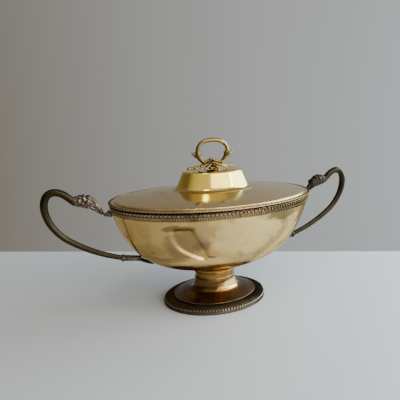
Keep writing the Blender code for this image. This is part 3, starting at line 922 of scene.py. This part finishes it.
def make_beak(name, side):
    """Make the beak: two mandibles with a line between them, and nostrils."""
    parts = tapered_bars(side, MANDIBLES)
    for face in (-1, 1):
        parts.append(ball(in_plane(side, 143.2, 137, face * 1.9), (0.8, 0.4, 0.5)))
    piece("beak_" + name, parts, HEAD_METAL, "tureen",
          ["handle_beak_" + name], voxel=0.2, smoothing=2)


def make_bracket(name, side):
    """Make the small bracket under the rim, with a leaf that curls up the moulding."""
    piece("bracket_" + name, tapered_bars(side, BRACKET_BARS), BRACKET_METAL, "tureen",
          ["rim_bracket_" + name], voxel=0.22, smoothing=2)


# The cuff: its two ends as (x, z), the strands' turns round it and their radius, and the ring
# at its outer end as (way along, radius).
CUFF_ENDS = ((118.4, 71.9), (98.2, 68.6))
CUFF_STRANDS = 3
CUFF_TURNS = 1.9
CUFF_STEPS = 60
STRAND_RADIUS = 1.75
CUFF_RING = (119.6, 72.1)
CUFF_RING_PROFILE = (
    (-1.6, 3.2), (-1.5, 4), (-1, 4.5), (0, 4.7), (1, 4.5), (1.5, 4), (1.6, 3.2)
)


def make_cuff(name, side):
    """Make the rope-twist cuff: three strands wound round the bar, with a ring at its end."""
    start, end = (in_plane(side, *point) for point in CUFF_ENDS)
    axis = (end - start).normalized()
    across = Vector((0, 1, 0))
    upward = axis.cross(across)
    parts = [bar([start, (start + end) / 2, end], [2.5, 2.5, 2.3], sides=20)]
    for strand in range(CUFF_STRANDS):
        path = []
        for share in np.arange(CUFF_STEPS + 1) / CUFF_STEPS:
            turn = 2 * math.pi * (CUFF_TURNS * share + strand / CUFF_STRANDS)
            off = across * math.cos(turn) + upward * math.sin(turn)
            path.append(start + (end - start) * share + off * (2.15 - 0.25 * share))
        rings = []
        for centre, ahead in zip(path, headings(path)):
            side_way = ahead.cross(axis).normalized()
            rise = ahead.cross(side_way).normalized()
            rings.append(ring_round(centre, side_way, rise, STRAND_RADIUS, STRAND_RADIUS, 12))
        parts.append(skin(rings))
    middle = in_plane(side, *CUFF_RING)
    parts.append(skin([
        ring_round(middle + axis * along, across, upward, radius, radius, 32)
        for along, radius in CUFF_RING_PROFILE
    ]))
    piece("cuff_" + name, parts, HEAD_METAL, "tureen",
          ["rope_cuff_" + name], voxel=0.2, smoothing=1)


def make_root(name, side):
    """Make the leaf-shaped root that tapers along the underside of the bowl."""
    spine = smooth(
        ((100.4, 68.9, 2.6, 3.5), (96.6, 66.5, 2.2, 4.5), (91.4, 63.6, 1.8, 4.2),
         (86.2, 60.9, 1.3, 2.9), (82.4, 59, 0.8, 1.2)),
        6,
    )
    rings = upright_rings(side, spine)
    piece("root_" + name, [skin(rings)], BAR_METAL, "tureen", ["handle_root_" + name])


# ---------------- lid

# The dome's wall: how it leans, the hollow where it meets the lid and its small foot lip.
DOME_LEAN = math.radians(24)
DOME_FILLET = 8
DOME_LIP = 0.12
DOME_EDGE = 2.8
DOME_CROWN = 0.6
SHEET = 1.2


def lid_oval(share, z, inset=0):
    """Return a lid oval part of the way (share) from the dome's foot out to the edge."""
    length = DOME_LENGTH + (LID_LENGTH - DOME_LENGTH) * share
    width = DOME_WIDTH + (LID_WIDTH - DOME_WIDTH) * share
    return oval(length - inset, width - inset, z)


def edge_oval(inset, z):
    """Return an oval set in evenly from the lid's edge."""
    return oval(LID_LENGTH - inset, LID_WIDTH - inset, z)


def dome_oval(inset, z):
    """Return an oval set in evenly from the dome's foot lip."""
    return oval(DOME_LENGTH - inset, DOME_WIDTH - inset, z)


def make_lid():
    """Make the lid's plate, hollow up to the dome, with a bead round its edge."""
    shelf = PLATE_LOW_EDGE + SHEET
    crest = DOME_BASE_Z - 0.05
    border = [(2.4, shelf - 0.3), (3, shelf), (4.5, shelf + 0.1), (6.2, shelf + 0.1)]
    border += arc((7.3, shelf + 0.5), 0.85, 225, 20, 7)
    top = [edge_oval(inset, z) for inset, z in border]
    rise = smooth(
        (edge_oval(8.7, 142.35), lid_oval(0.64, 144.75), lid_oval(0.42, 146.7),
         lid_oval(0.2, 148.3), lid_oval(0, crest)),
        7,
    )
    top += list(rise) + [lid_oval(0, crest, 10)]
    below = [lid_oval(0, crest - SHEET, 10), lid_oval(0, crest - SHEET)]
    below += [ring - np.array((0, 0, SHEET)) for ring in rise[-4:0:-4]]
    below += [edge_oval(8.9, shelf - 0.3), edge_oval(6.4, PLATE_LOW_EDGE + 0.1)]
    below += [edge_oval(3.4, PLATE_LOW_EDGE), edge_oval(2.4, PLATE_LOW_EDGE + 0.3)]
    piece("lid_sheet", [skin(top + below, closed_section=True)], LID_METAL, "lid",
          ["lid_plate"])


def make_lid_edge():
    """Make the wired edge of the lid with its fine notches."""
    wire = 1.05
    wire_z = LID_EDGE_TOP - wire - 0.05
    edge = [(3.1, LID_EDGE_TOP - 0.1)] + arc((wire + 0.15, wire_z), wire, 95, 290, 12)
    edge += [(2.2, LID_EDGE_LOW + 1), (2.3, LID_EDGE_LOW), (3.1, LID_EDGE_LOW)]
    parts = [skin([edge_oval(inset, z) for inset, z in edge], closed_section=True)]
    for x, y, out, along in even_on_oval(LID_LENGTH - wire, LID_WIDTH - wire, LID_NOTCHES):
        radii = (wire, 1.25, wire)
        parts.append(ball((x, y, wire_z), radii, (out, along, UP), rows=10, columns=12))
    piece("lid_notched_edge", parts, LID_EDGE_METAL, "lid", ["lid_rolled_edge"])


def make_flange():
    """Make the flange under the lid that keeps it in place."""
    wall = 1.4
    section = [(0, BEZEL_TOP), (0, BEZEL_LOW + wall / 2)]
    section += arc((wall / 2, BEZEL_LOW + wall / 2), wall / 2, 180, 360, 8)
    section += [(wall, BEZEL_TOP)]
    rings = [oval(BEZEL_LENGTH - inset, BEZEL_WIDTH - inset, z) for inset, z in section]
    parts = [skin(rings, closed_section=True)]
    piece("locating_flange", parts, LID_METAL, "lid", ["lid_bezel"])


def make_dome():
    """Make the polished dome: foot lip, hollow fillet, leaning wall and rounded top edge."""
    top_z = DOME_CROWN_Z - DOME_CROWN
    fillet_z = DOME_BASE_Z + DOME_LIP + DOME_FILLET
    wall_low = DOME_FILLET * math.cos(DOME_LEAN)
    rise = top_z - 2.4 - (fillet_z - DOME_FILLET * math.sin(DOME_LEAN))
    top_inset = wall_low + rise * math.tan(DOME_LEAN)
    length, width = DOME_LENGTH - top_inset, DOME_WIDTH - top_inset
    outside = [
        oval(length * share, width * share, top_z + DOME_CROWN * (1 - share))
        for share in (0.1, 0.4, 0.7, 0.86)
    ]
    edge = (top_inset + DOME_EDGE, top_z - DOME_EDGE)
    outside += [dome_oval(2 * edge[0] - d, z) for d, z in arc(edge, DOME_EDGE, 88, 15, 8)]
    lean_start = 180 + math.degrees(DOME_LEAN)
    hollow = arc((0, fillet_z), DOME_FILLET, lean_start, 268, 14)
    outside += [dome_oval(-d, z) for d, z in hollow]
    outside.append(dome_oval(0, DOME_BASE_Z + DOME_LIP))
    inside = [
        dome_oval(0.1, DOME_BASE_Z - 0.25),
        dome_oval(wall_low - 1, DOME_BASE_Z + 1.2),
        dome_oval(wall_low + SHEET, DOME_BASE_Z + 5),
        dome_oval(top_inset + SHEET, top_z - 2.4),
        dome_oval(top_inset + SHEET + 1.6, top_z - SHEET),
        oval(length * 0.1, width * 0.1, top_z - SHEET),
    ]
    piece("dome", [skin(outside + inside, closed_section=True)], DOME_METAL, "lid",
          ["lid_dome"])


# ---------------- finial

# The loop's half span, the height where its arch starts, and its radius there and on top.
LOOP_SPAN = 20
LOOP_SHOULDER = 196.5
LOOP_RADIUS = 2.3
LOOP_TOP_RADIUS = 2.6


def make_loop():
    """Make the arched loop of the finial."""
    rise = LOOP_TOP - 2.8 - LOOP_SHOULDER
    path, radii = [], []
    for turn in np.linspace(0, math.pi, 49):
        way = math.cos(turn)
        x = LOOP_SPAN * math.copysign(abs(way) ** 0.85, way)
        path.append((x, 0, LOOP_SHOULDER + rise * math.sin(turn)))
        radii.append(LOOP_RADIUS + (LOOP_TOP_RADIUS - LOOP_RADIUS) * math.sin(turn))
    legs = [(LOOP_SPAN - 0.1, 0, LOOP_SHOULDER - 3.2), (LOOP_SPAN, 0, LOOP_SHOULDER - 1.6)]
    path = legs + path + [(-x, y, z) for x, y, z in legs[::-1]]
    radii = [LOOP_RADIUS] * 2 + radii + [LOOP_RADIUS] * 2
    parts = [bar(path, radii, sides=32, shape=ridged)]
    piece("loop", parts, FINIAL_METAL, "lid", ["finial_loop"])


def ridged(angle, share):
    """Return the loop's section: a soft ridge along each face."""
    off = math.degrees(math.acos(min(1, abs(math.cos(angle)))))
    return 1 + 0.1 * math.exp(-((off / 20) ** 2)) - 0.05 * math.exp(-(((off - 45) / 14) ** 2))


# A sheath's stem as (x, z), and the leaf tips that curl out of its cup: root, bend and tip as
# (x, z) or (x, z, y), and the radius at the root and the tip.
SHEATH_STEM = ((10.4, 180.6), (12.6, 182.2), (15.8, 185.6), (18.6, 189.6), (20, 193.2))
SHEATH_TIPS = (
    ((21, 190.2), (24.4, 192.6), (27.4, 194.2), 2.9, 1.1),
    ((18.8, 190.6), (16.8, 193), (14.6, 194.4), 2, 0.8),
    ((20, 190.4, -2.2), (20.6, 193, -3.8), (21, 195.2, -4.6), 2.2, 1),
    ((20, 190.4, 2.2), (20.6, 193, 3.8), (21, 195.2, 4.6), 2.2, 1),
)


def make_sheath(name, side):
    """Make one acanthus sheath: a stem that opens into a cup with curled leaf tips."""
    stem = curve(side, SHEATH_STEM, 6)
    parts = [bar(stem, taper(stem, (0, 0.3, 0.7, 1), (2.1, 2.3, 3.2, 4.4)))]
    for root, bend, tip, thick, thin in SHEATH_TIPS:
        path = curve(side, (root, bend, tip))
        parts.append(bar(path, np.linspace(thick, thin, len(path)), sides=14))
    parts.append(ball(in_plane(side, 11.6, 181.8, -0.6), (2.4, 2.5, 2), rows=10, columns=14))
    piece("sheath_" + name, parts, FINIAL_METAL, "lid",
          ["finial_leaf_" + name], voxel=0.24, smoothing=3)


# Branches of the finial: the points of each, and its radius at the root and the tip.
SIDE_BRANCHES = {
    "twig_left": ((-2, 1, 181), (-12.3, -1, 178.7), (-21.8, -1.4, 176.6),
                  (-33, -1.6, 175.5)),
    "twig_right": ((2, -1, 180.4), (14.7, 0.8, 177.6), (21.1, 1.4, 176.3), (30.4, 1.6, 175.4)),
}
FRONT_BRANCHES = {
    "left": ((-2.6, -3, 181), (-7.8, -8, 178.4), (-15, -13.6, 175)),
    "right": ((-2.9, -4.4, 181.2), (-0.6, -9.4, 178.2), (1.8, -14.4, 175.2)),
}
SIDE_RADII = (2.1, 1.6)
FRONT_RADII = (2, 1.4)
# Lesser branches that grow from the knot itself.
KNOT_BRANCHES = (
    (((-11.8, 0.4, 182.4), (-6.4, 0.8, 183.8), (-1.4, 0.4, 186)), 1.7, 1.2),
    (((10.6, -0.4, 181.8), (3.4, -1, 183.6), (-4.2, -0.6, 186.4)), 1.7, 1.1),
    (((-3.6, -3, 181), (-12.4, -4, 178.4), (-25, -4.6, 175)), 1.8, 1.3),
    (((-1, -3.4, 182), (5.4, -4.6, 179.8), (16.8, -5.4, 175)), 1.8, 1.3),
    (((3.6, 3, 181), (12.4, 4, 178.4), (22, 4.6, 175.2)), 1.8, 1.3),
    (((1, 3.4, 182), (-5.4, 4.6, 179.8), (-16.8, 5.4, 175)), 1.8, 1.3),
    (((-5, -5, 178.6), (-7, -9.6, 176.6), (-6.4, -12.4, 175)), 1.6, 1.1),
)


def branch(points, thick, thin):
    """Return a gnarled branch with two knots and a cut end."""
    path = smooth(points, 7)
    count = len(path)
    radii = np.linspace(thick, thin, count) * (1 + 0.05 * np.sin(np.arange(count) * 1.9))
    parts = [bar(path, radii, sides=16)]
    for share, lift in ((0.45, 0.5), (0.78, -0.4)):
        i = int(share * (count - 1))
        size = radii[i] * 1.12
        parts.append(ball(path[i] + np.array((0, lift, 0.3)), (size, size, size)))
    parts.append(ball(path[-1], (thin * 1.15,) * 3))
    return parts


def make_twig(name, points, radii):
    """Make one of the finial's own branches."""
    piece(name, branch(points, *radii), FINIAL_METAL, "lid",
          ["finial_" + name], voxel=0.25, smoothing=2)


def make_twigs():
    """Make the branches; those at the back are those at the front, turned half round."""
    for name, points in SIDE_BRANCHES.items():
        make_twig(name, points, SIDE_RADII)
    for name, points in FRONT_BRANCHES.items():
        make_twig("twig_front_" + name, points, FRONT_RADII)
    for name, front in (("left", "right"), ("right", "left")):
        points = [(-x, -y, z) for x, y, z in FRONT_BRANCHES[front]]
        make_twig("twig_back_" + name, points, FRONT_RADII)


def make_knot():
    """Make the knot of lesser branches that carries the loop."""
    base = DOME_CROWN_Z + 0.3
    parts = [ball((0, 0, base + 3.2), (9, 6.4, 3.2), rows=12, columns=20)]
    parts.append(ball((-0.6, -0.4, base + 6.6), (5.6, 4.2, 4), rows=12, columns=18))
    for points, thick, thin in KNOT_BRANCHES:
        parts += branch(points, thick, thin)
    piece("knot", parts, FINIAL_METAL, "lid", ["finial_knot"], voxel=0.28, smoothing=2)


# ---------------- light and camera

# The table's back edge: its own turn, and how far behind the tureen it lies (mm).
TABLE_TURN = math.radians(23.3)
TABLE_BACK = 172
TABLE_REACH = 1700
TABLE_THICKNESS = 30
TABLE_COLOUR = (0.575, 0.6, 0.64, 1)


def make_stage():
    """Make the plain pale table top."""
    ahead = Vector((math.sin(TABLE_TURN), math.cos(TABLE_TURN), 0))
    aside = Vector((ahead.y, -ahead.x, 0))
    corners = [
        aside * x + ahead * y
        for y, xs in ((-TABLE_REACH, (-1, 1)), (TABLE_BACK, (1, -1)))
        for x in (TABLE_REACH * xs[0], TABLE_REACH * xs[1])
    ]
    table = solid("table", *skin([corners, [c - UP * TABLE_THICKNESS for c in corners]]))
    material = bpy.data.materials.new("pale_table")
    material.use_nodes = True
    shader = material.node_tree.nodes["Principled BSDF"]
    shader.inputs["Base Color"].default_value = TABLE_COLOUR
    shader.inputs["Roughness"].default_value = 0.45
    table.data.materials.append(material)


# Soft boxes: name, place (m), width and height (m), power (W) and colour.
SOFT_BOXES = (
    ("window", (0.84, -0.12, 0.46), (1.02, 0.78), 17, (0.74, 0.87, 1)),
    ("window_front", (0.58, -1.06, 0.58), (1.1, 1.15), 13, (1, 0.95, 0.84)),
    ("ceiling_lamp", (-0.06, -0.45, 1.55), (0.2, 0.2), 2, (0.88, 1, 0.6)),
)


def make_light():
    """Make the window-like soft boxes on the right and a plain grey room."""
    for name, place, size, power, colour in SOFT_BOXES:
        data = bpy.data.lights.new(name, "AREA")
        data.shape = "RECTANGLE"
        data.size, data.size_y = size
        data.energy = power
        data.color = colour
        lamp = bpy.data.objects.new(name, data)
        lamp.location = place
        aim = Vector((0, 0, 0.12)) - Vector(place)
        lamp.rotation_euler = aim.to_track_quat("-Z", "Y").to_euler()
        bpy.context.scene.collection.objects.link(lamp)
    make_room()


# The room's colour by direction, from far left (0) to far right (1), and how much brighter
# it is high up at the front.
ROOM = (
    (0, (0.13, 0.108, 0.076)),
    (0.22, (0.215, 0.19, 0.148)),
    (0.42, (0.215, 0.198, 0.165)),
    (0.8, (0.44, 0.455, 0.455)),
    (1, (0.6, 0.65, 0.7)),
)
ROOM_GLOW = 4.5
GLOW_TOWARDS = (-0.15, -0.64, 0.75)
GLOW_SPREAD = (0.62, 0.97)


def make_room():
    """Light the scene with a plain room that is darker and warmer on the left."""
    world = bpy.data.worlds.new("room")
    n = Nodes(world, "Generated")
    ramp = n.new("ValToRGB")
    stops = ramp.color_ramp.elements
    for share, _ in ROOM[1:-1]:
        stops.new(share)
    for stop, (_, colour) in zip(stops, ROOM):
        stop.color = (*colour, 1)
    n.link(n.remap(n.axis(0), -1, 1, kind="LINEAR"), ramp.inputs[0])
    facing = n.vector("DOT_PRODUCT", n.place, GLOW_TOWARDS)
    glow = n.remap(facing, *GLOW_SPREAD, 1, ROOM_GLOW, kind="LINEAR")
    background = n.tree.nodes["Background"]
    n.link(ramp.outputs[0], background.inputs["Color"])
    n.link(glow, background.inputs["Strength"])
    bpy.context.scene.world = world


# The camera: its place (m), its turns in degrees in their order, and its lens (mm).
CAMERA_PLACE = (-0.1707, -0.4367, 0.2345)
CAMERA_TURNS = ((-19.24, "Z"), (90 - 12.18, "X"), (-1.47, "Z"))
CAMERA_LENS = 33.49


def make_camera():
    """Place the camera a little above and to the left of the tureen."""
    placed = Matrix.Translation(CAMERA_PLACE)
    for degrees, axis in CAMERA_TURNS:
        placed = placed @ Matrix.Rotation(math.radians(degrees), 4, axis)
    data = bpy.data.cameras.new("camera")
    data.sensor_width = 36
    data.lens = CAMERA_LENS
    data.clip_start = 0.01
    camera = bpy.data.objects.new("camera", data)
    camera.matrix_world = placed
    bpy.context.scene.collection.objects.link(camera)
    bpy.context.scene.camera = camera


make_camera()
make_bowl()
make_moulding()
make_collar()
make_pedestal()
make_border()
for name, side in (("left", -1), ("right", 1)):
    make_bar(name, side)
    make_head(name, side)
    make_beak(name, side)
    make_bracket(name, side)
    make_cuff(name, side)
    make_root(name, side)
    make_sheath(name, side)
make_lid()
make_lid_edge()
make_flange()
make_dome()
make_loop()
make_twigs()
make_knot()
for node in ("finial_stud", "finial_washer", "finial_nut"):
    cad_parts[node].data.materials.clear()
    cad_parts[node].data.materials.append(FASTENER_METAL)
make_stage()
make_light()
